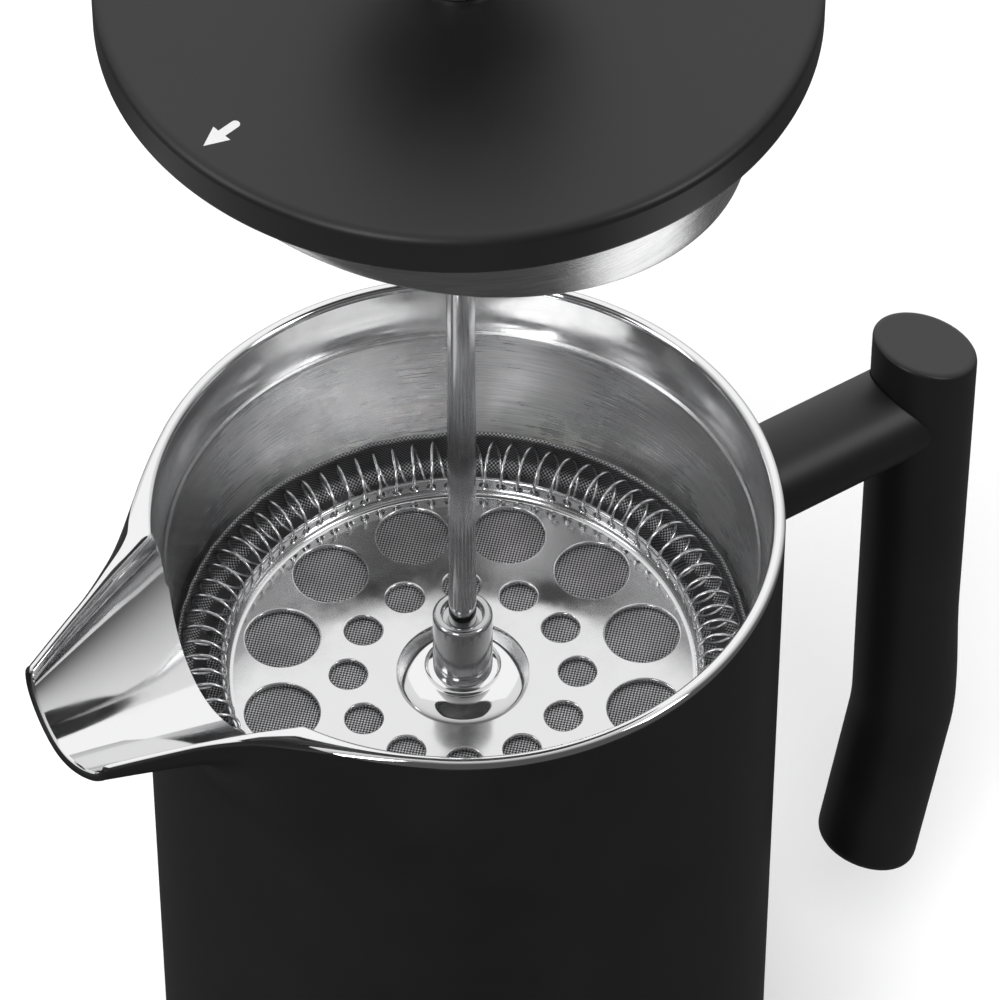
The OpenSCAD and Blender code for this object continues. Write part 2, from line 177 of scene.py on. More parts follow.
def finish_piece(obj, body, material, replaced=(), angle=35, join=2e-6):
    """Cleans a piece, gives it its material, and hangs it on its body."""
    if join:
        clean(obj, join)
    smooth(obj, angle)
    obj.data.materials.clear()
    obj.data.materials.append(material)
    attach(obj, body)
    if replaced:
        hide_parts(*replaced)
    return obj


def full_turn(count, first=0.0):
    """Angles that divide a full turn into equal steps."""
    return first + np.arange(count) * 2 * math.pi / count


def quarter_turn(count):
    """Angles from zero to a right angle."""
    return np.linspace(0, math.pi / 2, count)


def circle(ring, r, z, x=0.0, y=0.0):
    """Points of a level circle about (x, y), at the angles in ring."""
    return np.stack([x + r * np.cos(ring), y + r * np.sin(ring), z + 0 * ring], -1)


def arc(r, z, radius, start, end, count, tall=None):
    """Points of an arc about (r, z), between two angles in degrees; tall makes it an oval's."""
    a = np.radians(np.linspace(start, end, count))
    return list(zip(r + radius * np.cos(a), z + (tall or radius) * np.sin(a)))


def grid_faces(rows, cols, closed_rows=False, closed_cols=False):
    """Quads of a grid whose point (i, j) has the index i * cols + j."""
    out = []
    for i in range(rows if closed_rows else rows - 1):
        for j in range(cols if closed_cols else cols - 1):
            i2, j2 = (i + 1) % rows, (j + 1) % cols
            out.append((i * cols + j, i * cols + j2, i2 * cols + j2, i2 * cols + j))
    return out


def fillet(corners, steps=6):
    """Outline through (r, z, rounding) corners, each rounded by an arc of that radius."""
    pts = [np.array(c[:2], float) for c in corners]
    out = []
    n = len(pts)
    for k, corner in enumerate(corners):
        radius = corner[2] if len(corner) > 2 else 0
        here, before, after = pts[k], pts[k - 1], pts[(k + 1) % n]
        if not radius:
            out.append(here)
            continue
        u = (before - here) / np.linalg.norm(before - here)
        v = (after - here) / np.linalg.norm(after - here)
        half = math.acos(np.clip(u @ v, -1, 1)) / 2
        start, end = here + u * radius / math.tan(half), here + v * radius / math.tan(half)
        centre = here + (u + v) / np.linalg.norm(u + v) * radius / math.sin(half)
        a0 = math.atan2(*(start - centre)[::-1])
        turn = (math.atan2(*(end - centre)[::-1]) - a0 + math.pi) % (2 * math.pi) - math.pi
        guard = min(0.1, radius / 3)       # a narrow flat strip that keeps the faces beside the arc flat
        out.append(start + u * guard)
        out += [centre + radius * np.array([math.cos(a0 + turn * s / steps), math.sin(a0 + turn * s / steps)])
                for s in range(steps + 1)]
        out.append(end + v * guard)
    return np.array(out)


def grid_mesh(name, grid, closed_rows=False, closed_cols=True):
    """Object from one grid of points."""
    grid = np.asarray(grid)
    rows, cols = grid.shape[:2]
    return make_mesh(name, grid.reshape(-1, 3), grid_faces(rows, cols, closed_rows, closed_cols))


def lathe(name, outline, segments=192):
    """Closed outline of (r, z) points turned round the Z axis."""
    r, z = np.asarray(outline, float).T
    return grid_mesh(name, circle(full_turn(segments)[:, None], r, z), True)


def tube(name, path, radius, sides=8, closed=False):
    """Round tube along a path, with frames carried along without twisting."""
    path = np.asarray(path, float)
    n = len(path)
    if closed:
        tangent = np.roll(path, -1, 0) - np.roll(path, 1, 0)
    else:
        tangent = np.gradient(path, axis=0)
    tangent /= np.linalg.norm(tangent, axis=1)[:, None]
    normal = np.cross(tangent[0], [0.3, 0.5, 0.8])
    normal /= np.linalg.norm(normal)
    normals = [normal]
    for t in tangent[1:]:
        normal = normal - t * (normal @ t)
        normal /= np.linalg.norm(normal)
        normals.append(normal)
    normals = np.array(normals)
    side = np.cross(tangent, normals)
    a = full_turn(sides)
    verts = (path[:, None] + radius * (np.cos(a)[None, :, None] * normals[:, None]
                                       + np.sin(a)[None, :, None] * side[:, None])).reshape(-1, 3)
    faces = grid_faces(n, sides, closed, True)
    if not closed:
        faces += [tuple(range(sides))[::-1], tuple((n - 1) * sides + k for k in range(sides))]
    return make_mesh(name, verts, faces)


# ---- materials
class Look:
    """One material with a Principled shader, and short calls that add nodes to it."""

    def __init__(self, name, colour, rough, metallic=0.0, **sockets):
        self.material = bpy.data.materials.new(name)
        self.material.use_nodes = True
        self.tree = self.material.node_tree
        self.shader = self.tree.nodes["Principled BSDF"]
        self.set(**{"Base Color": (*colour, 1), "Roughness": rough, "Metallic": metallic})
        self.set(**{k.replace("_", " "): v for k, v in sockets.items()})
        self.place = self.add("ShaderNodeTexCoord").outputs["Object"]

    def feed(self, socket, value):
        """Links a socket to another one, or sets its value."""
        if isinstance(value, bpy.types.NodeSocket):
            self.tree.links.new(value, socket)
        else:
            socket.default_value = value

    def set(self, **sockets):
        for key, value in sockets.items():
            self.feed(self.shader.inputs[key], value)

    def add(self, kind, inputs=(), **props):
        made = self.tree.nodes.new(kind)
        for key, value in props.items():
            setattr(made, key, value)
        for key, value in dict(inputs).items():
            self.feed(made.inputs[key], value)
        return made

    def maths(self, operation, a, b=0.0, clamp=False):
        return self.add("ShaderNodeMath", {0: a, 1: b}, operation=operation, use_clamp=clamp).outputs[0]

    def times(self, a, b, clamp=False):
        return self.maths("MULTIPLY", a, b, clamp)

    def plus(self, a, b):
        return self.maths("ADD", a, b)

    def minus(self, a, b):
        return self.maths("SUBTRACT", a, b)

    def split(self, vector):
        made = self.add("ShaderNodeSeparateXYZ", {0: vector})
        return made.outputs["X"], made.outputs["Y"], made.outputs["Z"]

    def join(self, x, y, z):
        return self.add("ShaderNodeCombineXYZ", {"X": x, "Y": y, "Z": z}).outputs[0]

    def noise(self, scale, detail=3.0, rough=0.55, vector=None):
        """Noise whose grain is about 1 / scale metres."""
        return self.add("ShaderNodeTexNoise", {"Vector": vector or self.place, "Scale": scale,
                                               "Detail": detail, "Roughness": rough}).outputs["Fac"]

    def remap(self, value, low_in, high_in, low_out, high_out):
        return self.add("ShaderNodeMapRange", {"Value": value, "From Min": low_in, "From Max": high_in,
                                               "To Min": low_out, "To Max": high_out}).outputs["Result"]

    def blend(self, fac, a, b):
        """Colour that goes from a to b."""
        made = self.add("ShaderNodeMix", data_type="RGBA")
        for key, value in ((0, fac), (6, (*a, 1)), (7, (*b, 1))):
            self.feed(made.inputs[key], value)
        return made.outputs[2]

    def bump(self, height, strength, depth):
        """Bump whose full height is depth metres."""
        made = self.add("ShaderNodeBump", {"Height": height, "Strength": strength, "Distance": depth})
        self.set(Normal=made.outputs[0])

    def round_the_axis(self, turns, rise):
        """Vector that changes slowly round the Z axis and quickly along it, for turned or brushed marks."""
        x, y, z = self.split(self.place)
        r = self.maths("SQRT", self.plus(self.times(x, x), self.times(y, y)))
        return self.join(self.times(self.maths("DIVIDE", x, r), turns),
                         self.times(self.maths("DIVIDE", y, r), turns),
                         self.times(self.plus(z, r), rise))


def powder_coat(name, colour, rough):
    """Matt coating: a fine pebbled grain, slightly uneven gloss and a few rubbed spots."""
    look = Look(name, colour, rough, Specular_IOR_Level=0.2)
    patches = look.noise(28, 4)
    grain = look.noise(5200, 2, 0.6)
    lighter = tuple(c * 1.3 + 0.001 for c in colour)
    look.set(**{"Base Color": look.blend(look.remap(patches, 0.35, 0.7, 0, 1), colour, lighter),
                "Roughness": look.remap(patches, 0.3, 0.7, rough - 0.04, rough + 0.05)})
    look.bump(grain, 0.16, 0.00006)
    return look.material


def moulded_black(name, colour, rough):
    """Satin moulded plastic with a very fine spark-eroded grain and faint handling marks."""
    look = Look(name, colour, rough, Specular_IOR_Level=0.45)
    smears = look.noise(34, 5, 0.6)
    grain = look.noise(7000, 2)
    lighter = tuple(c * 1.25 + 0.001 for c in colour)
    look.set(**{"Base Color": look.blend(look.remap(smears, 0.4, 0.75, 0, 1), colour, lighter),
                "Roughness": look.remap(smears, 0.3, 0.75, rough - 0.03, rough + 0.05)})
    look.bump(grain, 0.08, 0.00004)
    return look.material


def polished(name, colour, rough, waviness=0.10):
    """Mirror-polished steel with faint wipe marks and a little waviness from pressing."""
    look = Look(name, colour, rough, 1.0)
    wipes = look.noise(95, 6, 0.62)
    waves = look.noise(60, 1)
    look.set(Roughness=look.remap(wipes, 0.35, 0.75, rough * 0.6, rough * 1.9))
    look.bump(waves, waviness, 0.0003)
    return look.material


def brushed(name, colour, rough, strength, rise=9000.0):
    """Steel brushed round the Z axis: fine lines of uneven depth, with cloudy patches over them."""
    look = Look(name, colour, rough, 1.0, Anisotropic=0.55)
    lines = look.noise(1, 6, 0.75, look.round_the_axis(5.0, rise))
    broad = look.noise(1, 3, 0.6, look.round_the_axis(1.6, rise / 16))
    clouds = look.noise(42, 4, 0.6)
    height = look.plus(look.times(lines, 0.75), look.times(broad, 0.25))
    darker = tuple(c * 0.6 for c in colour)
    gloss = look.plus(look.times(clouds, 0.6), look.times(lines, 0.4))
    tangent = look.add("ShaderNodeTangent", direction_type="RADIAL", axis="Z").outputs[0]
    look.set(**{"Base Color": look.blend(look.remap(height, 0.36, 0.6, 0, 1), darker, colour),
                "Roughness": look.remap(gloss, 0.35, 0.65, rough - 0.06, rough + 0.08),
                "Tangent": tangent})
    look.bump(height, strength, 0.00005)
    return look.material


def woven(name, pitch, light):
    """Plain-woven wire cloth: round wires that pass over and under each other, with painted shade that
    darkens their flanks and the gaps between them to near black.

    The two thread directions are the UV directions turned by 45 degrees, and one UV unit is a metre.
    """
    look = Look(name, (0.3, 0.3, 0.3), 0.38, 1.0)
    u, v, _ = look.split(look.add("ShaderNodeUVMap", uv_map="UVMap").outputs[0])
    step = 1 / pitch / math.sqrt(2)
    a = look.times(look.plus(u, v), step)
    b = look.times(look.minus(u, v), step)

    def across(value):
        """Height of a round wire over one cell, with flat ground beside it."""
        local = look.minus(look.times(look.maths("FRACT", value), 2.0), 1.0)
        room = look.minus(0.55, look.times(local, local))
        return look.maths("SQRT", look.maths("MAXIMUM", room, 0.0))

    def along(value, other):
        """Rise and fall of a wire as it passes over and under the wires that cross it."""
        wave = look.maths("SINE", look.times(look.minus(value, 0.5), math.pi))
        odd = look.maths("MODULO", look.maths("FLOOR", look.plus(other, 4000.0)), 2.0)
        row = look.minus(1.0, look.times(odd, 2.0))
        return look.plus(0.5, look.times(look.times(wave, row), 0.32))

    warp = look.times(across(b), along(look.plus(a, 0.5), b))
    weft = look.times(across(a), along(look.plus(b, 1.5), a))
    height = look.maths("MAXIMUM", warp, weft)
    tint = look.remap(look.noise(160, 4), 0.35, 0.7, 0.8, 1.1)
    # painted shade: the colour falls from the wires' tops to near black down their flanks and in the gaps
    # between them
    shade = look.times(look.remap(height, 0.18, 0.6, 0.0, 1.0), tint, clamp=True)
    look.set(**{"Base Color": look.blend(shade, (0.010, 0.010, 0.011), (light, light, light * 1.02)),
                "Roughness": look.remap(height, 0.2, 0.7, 0.75, 0.30)})
    look.bump(height, 0.9, pitch * 0.35)
    return look.material


def plain_metal(name, colour, rough, grain=0.05):
    """Turned or drawn metal that is mostly hidden: fine grain and uneven gloss."""
    look = Look(name, colour, rough, 1.0)
    marks = look.noise(600, 5, 0.65)
    look.set(**{"Roughness": look.remap(marks, 0.35, 0.7, rough - 0.06, rough + 0.1),
                "Base Color": look.blend(look.remap(marks, 0.3, 0.7, 0, 1),
                                         tuple(c * 0.82 for c in colour), colour)})
    look.bump(marks, grain, 0.00004)
    return look.material


def soft_rubber(name, colour):
    """Matt silicone with a dusty grain."""
    look = Look(name, colour, 0.62)
    dust = look.noise(1800, 4)
    look.set(**{"Base Color": look.blend(dust, colour, tuple(c * 1.8 for c in colour))})
    look.bump(dust, 0.2, 0.00004)
    return look.material


def printed(name, colour):
    """Pad-printed ink, slightly thin in places."""
    look = Look(name, colour, 0.5)
    thin = look.noise(2600, 4)
    look.set(**{"Base Color": look.blend(look.remap(thin, 0.3, 0.75, 0, 1), colour,
                                         tuple(c * 0.86 for c in colour))})
    look.bump(thin, 0.1, 0.00002)
    return look.material


COAT = powder_coat("black_coat", (0.006, 0.006, 0.0063), 0.40)
PLASTIC = moulded_black("black_moulding", (0.006, 0.006, 0.0063), 0.40)
MIRROR = polished("mirror_steel", (0.74, 0.74, 0.745), 0.06)
ROD = polished("drawn_rod_steel", (0.68, 0.68, 0.685), 0.10, 0.01)
NUT = polished("nut_steel", (0.46, 0.46, 0.465), 0.12, 0.01)
BAND = polished("band_steel", (0.72, 0.72, 0.725), 0.15)
SHEET = polished("pressed_steel", (0.66, 0.66, 0.665), 0.12)
LINER = brushed("liner_steel", (0.50, 0.50, 0.505), 0.25, 0.9, 2600.0)
COLLAR = brushed("collar_steel", (0.60, 0.60, 0.605), 0.24, 0.3, 5200.0)
BASE = brushed("base_steel", (0.62, 0.62, 0.625), 0.30, 0.3)
WIRE = plain_metal("spring_wire", (0.80, 0.80, 0.81), 0.16)
TURNED = plain_metal("turned_steel", (0.58, 0.58, 0.59), 0.28)
BRASS = plain_metal("insert_brass", (0.72, 0.53, 0.24), 0.30)
CLOTH = woven("wire_cloth", 0.00052, 0.78)
# a darker copy of the cloth for the upright wall and lip: painted shade
SHADED_WALL_CLOTH = woven("wire_cloth_wall_painted_shade", 0.00052, 0.62)
SILICONE = soft_rubber("silicone", (0.035, 0.035, 0.036))
INK = printed("printed_ink", (0.66, 0.66, 0.66))


# ---- spout and rim
LIP_H = BEAD_R                     # height of the rolled lip over its flanks
LIP_Z = RIM_Z - LIP_H
BEAD_SIDE = LIP_Z - SHELL_TOP      # height of the bead's outer side under its roll
FILLET_OUT = 9.0                   # reach of the blend along the spout
FILLET_ON, FILLET_MORE = 9, 12     # over the pot, and how much more at the lip
ARC = np.linspace(0, math.pi, 61)  # round the channel, from one lip to the other
SKIN_T = 0.8                       # thickness of the spout's skin
SKIN_OFF, SKIN_MORE = 1.7, 2.2     # outside of the skin from the channel, and how much more near the pot
# how much of the lip is steel: 1 covers the roll, and 2 its outer side as well
SPOUT_STEEL, TIP_STEEL, RIM_STEEL, WHOLE_LIP = 0.62, 0.16, 1.12, 2.0
SPOUT_ROLL = 0.55                  # the roll is flatter along the spout, by this factor
UP, TO_TIP = np.array([0, 0, 1.0]), np.array([-1.0, 0, 0])


def smoothstep(value):
    t = np.clip(value, 0, 1)
    return t * t * (3 - 2 * t)


def curve(a, b, c, t):
    """Point at the fraction t of the curve from a to c that b pulls on."""
    return (1 - t) ** 2 * a + 2 * t * (1 - t) * b + t * t * c


def spout_width(x):
    return TIP_HALF_W + (TIP_X - x) * SPOUT_FLARE


def lip_base(x):
    """Height of the rolled lip's flanks, which falls away towards the tip."""
    return LIP_Z - LIP_DROP * np.maximum(0, (x - LIP_BEND_X) / (TIP_X - LIP_BEND_X)) ** 1.4


def spout_depth(x):
    return lip_base(x) - (RIM_Z - TIP_DEPTH - (TIP_X - x) * SPOUT_FALL)


def tip_edge(turn):
    """Distance of the tip's edge from the pot's axis, before its own roll: it bulges in the middle."""
    return TIP_X - LIP_H + TIP_BULGE * np.sin(turn)


def spout_point(x, turn, off=0.0):
    """Point of the channel's section at the distance x from the pot's axis, grown outwards by off."""
    c, s = np.cos(turn), np.sin(turn)
    y = (spout_width(x) + off) * c * (1 - SIDE_PULL * s * s)
    z = lip_base(x) - (spout_depth(x) + off) * s
    return np.stack(np.broadcast_arrays(-x, y, z), -1)


def channel_height(x, y):
    """Height of the channel's surface under a point of its plan."""
    section = spout_point(x, quarter_turn(61)[::-1])
    return float(np.interp(abs(y), section[:, 1], section[:, 2], right=RIM_Z))


def skin_off(x):
    """Distance from the channel's inside to the outside of the skin."""
    return SKIN_OFF + SKIN_MORE * smoothstep((64 - x) / 16)


def meet_cylinder(turn, radius, off):
    """Distance x at which the grown channel surface meets a cylinder about the pot's axis."""
    near, far = np.full_like(turn, 25.0), np.full_like(turn, 66.0)
    for _ in range(40):                                  # halves the gap each time
        x = (near + far) / 2
        p = spout_point(x, turn, off(x))
        inside = np.hypot(p[..., 0], p[..., 1]) < radius(p[..., 2])
        near, far = np.where(inside, x, near), np.where(inside, far, x)
    return (near + far) / 2


def band_radius(z):
    """Inside radius of the liner at the height z: wall, step and flared band."""
    step_z = RIM_Z - STEP_DROP
    flare = STEP_R + (BAND_R - STEP_R) * np.clip((z - step_z) / (STEP_DROP - 1.3), 0, 1) ** 1.6
    step = LINER_R + (STEP_R - LINER_R) * smoothstep((z - step_z + STEP_H) / STEP_H)
    return np.where(z < step_z, step, flare)


def skin_grid():
    """Outside of the spout's skin: straight lines from the tip, then a blend into the pot's wall."""
    meet_x = meet_cylinder(ARC, lambda z: POT_R, skin_off)
    start_x = meet_x + FILLET_OUT
    edge_x = tip_edge(ARC)
    stations = [edge_x + (start_x - edge_x) * t for t in np.linspace(0, 1, 19)]
    straight = [spout_point(x, ARC, skin_off(x)) for x in stations]
    first = spout_point(start_x, ARC, skin_off(start_x))
    meet = spout_point(meet_x, ARC, skin_off(meet_x))
    # unrolled on the pot's cylinder: u runs round it, v is the height
    u, v = POT_R * np.arctan2(meet[:, 1], -meet[:, 0]), meet[:, 2]
    du, dv = np.gradient(u), np.gradient(v)
    size = np.hypot(du, dv)
    reach = FILLET_ON + FILLET_MORE * np.cos(ARC) ** 2
    nu, nv = -dv / size, du / size
    nu[0], nv[0], nu[-1], nv[-1] = 1, 0, -1, 0
    end_u, end_v = u + nu * reach, v + nv * reach
    start_u = POT_R * np.arctan2(first[:, 1], -first[:, 0])
    start_r = np.hypot(first[:, 0], first[:, 1])
    blend = []
    for t in np.linspace(0, 1, 41)[1:]:
        r = POT_R + (1 - t) ** 2 * (start_r - POT_R) - 0.05 * t ** 8
        z = curve(first[:, 2], v, end_v, t) - bead_side(t) * np.cos(ARC) ** 6
        blend.append(circle(math.pi - curve(start_u, u, end_u, t) / POT_R, r, z))
    return np.array(straight + blend), len(straight)


def bead_side(t):
    """Height of the steel under the roll, at the fraction t of the blend from spout to rim."""
    return BEAD_SIDE * smoothstep((t - 0.25) / 0.75)


SKIN, SKIN_STRAIGHT = skin_grid()


def lip_stations():
    """Stations round the whole lip, as five arrays.

    Each station has an inner point, an outer point, the way it bulges, the height of its outer side
    and how much of it is steel.
    """
    far = SKIN[:, 0]                                     # along one side, from the tip to the pot
    join_x = meet_cylinder(np.zeros(1), lambda z: BAND_R, lambda x: 0 * x)[0]
    join = spout_point(join_x, 0.0)
    join_turn = math.atan2(join[1], -join[0])
    end_turn = math.atan2(far[-1][1], -far[-1][0])
    start_x = -far[SKIN_STRAIGHT - 1][0]
    line_len, arc_len = start_x - join_x, BAND_R * (end_turn - join_turn)
    out = []
    for k, o in enumerate(far):
        if k < SKIN_STRAIGHT:
            out.append((spout_point(-o[0], 0.0), o, UP * SPOUT_ROLL, 0.0, SPOUT_STEEL))
            continue
        f = (k - SKIN_STRAIGHT + 1) / (len(far) - SKIN_STRAIGHT)
        run = f * (line_len + arc_len)
        if run < line_len:
            p = spout_point(start_x - run, 0.0)
        else:
            turn = join_turn + (run - line_len) / BAND_R
            p = np.array([-BAND_R * math.cos(turn), BAND_R * math.sin(turn), LIP_Z])
        height, share = float(bead_side(f)), float(smoothstep((f - 0.1) / 0.9))
        out.append((p, o + UP * height, UP * (SPOUT_ROLL + (1 - SPOUT_ROLL) * share), height,
                    SPOUT_STEEL + (RIM_STEEL - SPOUT_STEEL) * share))
    out.reverse()
    for b in quarter_turn(6)[1:-1]:                      # round the corner of the tip
        out.append((*out[-1][:2], UP * SPOUT_ROLL * math.cos(b) + TO_TIP * math.sin(b), 0.0,
                    SPOUT_STEEL + (TIP_STEEL - SPOUT_STEEL) * math.sin(b)))
    flip = np.array([1, -1, 1])                          # the other side is the mirror image
    other_side = [(p * flip, o * flip, way * flip, height, share) for p, o, way, height, share in out[::-1]]
    out += [(spout_point(tip_edge(a), a), o, TO_TIP, 0.0, TIP_STEEL) for a, o in zip(ARC, SKIN[0])]
    out += other_side
    ring = np.arange(end_turn, 2 * math.pi - end_turn, math.radians(0.75))[1:]
    for turn in -ring:                                   # round the rest of the rim
        way = np.array([-math.cos(turn), math.sin(turn), 0])
        out.append((way * BAND_R + UP * LIP_Z, way * POT_R + UP * LIP_Z, UP, BEAD_SIDE, RIM_STEEL))
    return [np.array(part) for part in zip(*out)]


def lip_rows(stations, start, end, rows):
    """Rows of the lip's surface from the shares start to end of it, for every station."""
    inner, outer, bulge, side_h, _ = stations
    out = []
    for k in range(rows + 1):
        share = start + (end - start) * k / rows
        a = np.minimum(share, 1)[:, None] * math.pi
        down = np.maximum(share - 1, 0)[:, None] * side_h[:, None] * UP
        out.append(inner + (outer - inner) * (1 - np.cos(a)) / 2 + bulge * LIP_H * np.sin(a) - down)
    return np.array(out)


class Patches:
    """Grids of points gathered into one mesh; shared edges join when it is cleaned."""

    def __init__(self):
        self.verts, self.faces, self.count = [], [], 0

    def gather(self, verts, faces):
        self.verts.append(verts)
        self.faces += [tuple(self.count + i for i in f) for f in faces]
        self.count += len(verts)

    def add(self, grid, closed_cols=False):
        rows, cols = grid.shape[:2]
        self.gather(grid.reshape(-1, 3), grid_faces(rows, cols, False, closed_cols))

    def rings(self, ring, section, x=0.0, y=0.0):
        """Adds an open outline of (r, z) points, turned round the upright axis at (x, y)."""
        self.add(np.array([circle(ring, r, z, x, y) for r, z in section]), True)

    def object(self, name):
        return make_mesh(name, np.concatenate(self.verts), self.faces)


def rim_bead():
    """The bead round the rim, which runs on along the spout as its polished lip."""
    stations = lip_stations()
    inner, outer, bulge, _, steel = stations
    rows = lip_rows(stations, 0 * steel, steel, 32)
    middle = (inner + outer) / 2
    sunk = rows[-1] + (middle - rows[-1]) * 0.3
    back = middle - bulge * 0.5
    bead = grid_mesh("rim_bead", np.concatenate([rows, [sunk, back]]), True)
    finish_piece(bead, "pot", MIRROR, ["rim_ring"], 50)


def spout_lining():
    """The polished channel, from the liner's opening to the tip."""
    root = meet_cylinder(ARC, band_radius, lambda x: 0 * x)
    tip = tip_edge(ARC)
    steps, sheet, sunk = np.linspace(0, 1, 25), 0.7, 0.5
    inside = np.array([spout_point(tip + (root - tip) * t, ARC) for t in steps])
    back = np.array([spout_point(tip + (root + sunk - tip) * t, ARC, sheet) for t in steps])
    shape = Patches()
    shape.add(inside)
    shape.add(back)
    for edge in (lambda g: g[:, 0], lambda g: g[:, -1], lambda g: g[0], lambda g: g[-1]):
        shape.add(np.array([edge(inside), edge(back)]))
    finish_piece(shape.object("spout_lining"), "pot", MIRROR, ["spout_channel"])


def spout_outside():
    """The coated skin, with its share of the lip and the blend into the pot."""
    stations = lip_stations()
    steel = stations[4]
    corner_count = 4
    used = 2 * len(SKIN) + 2 * corner_count + len(ARC)
    lip = lip_rows(stations, steel, np.full_like(steel, WHOLE_LIP), 12)[:, :used]
    deep_x = meet_cylinder(ARC, lambda z: POT_R - 0.6, lambda x: 0 * x + SKIN_T)
    start_x = -SKIN[SKIN_STRAIGHT - 1, :, 0]
    edge_x = tip_edge(ARC)
    back = []
    for k in range(len(SKIN)):
        if k < SKIN_STRAIGHT:
            x = edge_x + (start_x - edge_x) * k / (SKIN_STRAIGHT - 1)
        else:
            x = start_x + (deep_x - start_x) * (k - SKIN_STRAIGHT + 1) / (len(SKIN) - SKIN_STRAIGHT)
        back.append(spout_point(x, ARC, SKIN_T))
    back = np.array(back)
    corner = np.repeat(back[:1, 0], corner_count, 0)
    far_corner = np.repeat(back[:1, -1], corner_count, 0)
    rim = np.concatenate([back[::-1, 0], corner, back[0], far_corner, back[:, -1]])
    shape = Patches()
    shape.add(SKIN)
    shape.add(back)
    shape.add(lip)
    shape.add(np.array([lip[0], rim]))
    shape.add(np.array([SKIN[-1], back[-1]]))
    finish_piece(shape.object("spout_outside"), "pot", COAT, ["spout_skin"], 50)


# ---- pot
def revolve_cut(name, profile, cut, segments=288):
    """Closed outline turned round the axis, with each column's heights held below cut(angle).

    A point of the outline is a radius and a height, and the radius may be a function of the height.
    """
    grid = []
    for a in full_turn(segments):
        top = cut(a)
        column = [(radius, min(z, top)) for radius, z in profile]
        column = [(float(radius(z)) if callable(radius) else radius, z) for radius, z in column]
        grid.append([(r * math.cos(a), r * math.sin(a), z) for r, z in column])
    return grid_mesh(name, grid, True)


def notch_height(radius_at):
    """Height at which a wall meets the spout's channel, as a function of the angle round the pot."""
    def cut(a):
        if math.cos(a) > -0.5:
            return RIM_Z
        low_z, high_z = RIM_Z - 30, RIM_Z - 1.2
        limit = high_z - 0.01              # a wall that reaches this far isn't cut
        for _ in range(34):
            z = (low_z + high_z) / 2
            r = float(radius_at(z))
            if z < channel_height(-r * math.cos(a), r * math.sin(a)):
                low_z = z
            else:
                high_z = z
        return low_z if low_z < limit else RIM_Z
    return cut


def liner_pieces():
    """The drawn cup in two finishes: a brushed wall and floor, and a polished band at the rim."""
    corner, flat_r = 5.0, 20
    step_z, high_z, low_z = RIM_Z - STEP_DROP, RIM_Z - 24, FLOOR_Z + corner + 6
    centre = (LINER_R - corner, FLOOR_Z + corner)
    cut = notch_height(band_radius)

    def outside(z):
        return band_radius(z) + SHEET_T

    heights = [*np.linspace(low_z, high_z, 12), *np.linspace(high_z + 1, step_z - STEP_H, 18)]
    heights += [step_z - 0.4, step_z - 0.2, step_z]
    profile = [(0, FLOOR_Z), (flat_r, FLOOR_Z)] + arc(*centre, corner, -90, 0, 11)
    profile += [(band_radius, z) for z in heights] + [(outside, z) for z in (step_z, high_z, low_z)]
    profile += arc(*centre, corner + SHEET_T, 0, -90, 11) + [(0, FLOOR_Z - SHEET_T)]
    finish_piece(revolve_cut("liner_wall", profile, cut), "pot", LINER, ["liner"], 40)
    levels = np.linspace(step_z, RIM_Z - 1.25, 15)
    profile = [(band_radius, z) for z in levels] + [(outside, z) for z in levels[::-1]]
    finish_piece(revolve_cut("liner_band", profile, cut), "pot", BAND, (), 40)


def shell():
    """The coated outer wall. Behind the spout's skin its upper edge dips below the channel."""
    meet_x = meet_cylinder(ARC, lambda z: POT_R, skin_off)
    meet = spout_point(meet_x, ARC, skin_off(meet_x))
    between = ((meet + SKIN[-1]) / 2)[:len(ARC) // 2 + 1]
    turn = np.abs(np.arctan2(between[:, 1], -between[:, 0]))
    order = np.argsort(turn)
    turns, heights = turn[order], between[order, 2]

    def cut(a):
        away = abs(a % (2 * math.pi) - math.pi)          # angle from the spout's side
        return RIM_Z if away > turns[-1] else float(np.interp(away, turns, heights))

    foot, foot_low, top = 3.0, 1.0, LIP_Z - 0.15
    centre = (POT_R - foot, foot_low + foot)
    levels = [centre[1] + 8] + [RIM_Z - drop for drop in (60, 36, 26, 20, 14, 8)] + [top - 0.3]
    profile = arc(*centre, foot, -90, 0, 9) + [(POT_R, z) for z in levels]
    profile += [(POT_R - 0.25, top), (POT_R - SHEET_T, top)] + [(POT_R - SHEET_T, z) for z in levels[::-1]]
    profile += arc(*centre, foot - SHEET_T, 0, -90, 9)
    finish_piece(revolve_cut("outer_wall", profile, cut, 256), "pot", COAT,
                 ["outer_shell"])


# ---- handle
def bar_ring(turn, ring, grow=0.0):
    """Ring of the bar's outline after a turn round the bend's centre.

    It is thickened by grow on the side away from the pot.
    """
    r = BEND_R + BAR_R * np.cos(ring) + grow * (1 + np.cos(ring)) / 2
    return np.stack([BAR_X - BEND_R + r * math.cos(turn), BAR_R * np.sin(ring),
                     BEND_Z - r * math.sin(turn)], -1)


def rounded_end(centre, edge, way, rounding, steps=8):
    """Rows from the middle of a cut face, over its rounded edge and on along the side."""
    inwards = centre - edge
    flat = edge + inwards / np.linalg.norm(inwards, axis=1)[:, None] * rounding
    rows = [centre + (flat - centre) * t for t in (0, 0.35, 0.7, 0.975)]
    for t in np.linspace(0, 1, steps + 1):
        rows.append(curve(flat, edge, edge + way * rounding, t))
    return rows


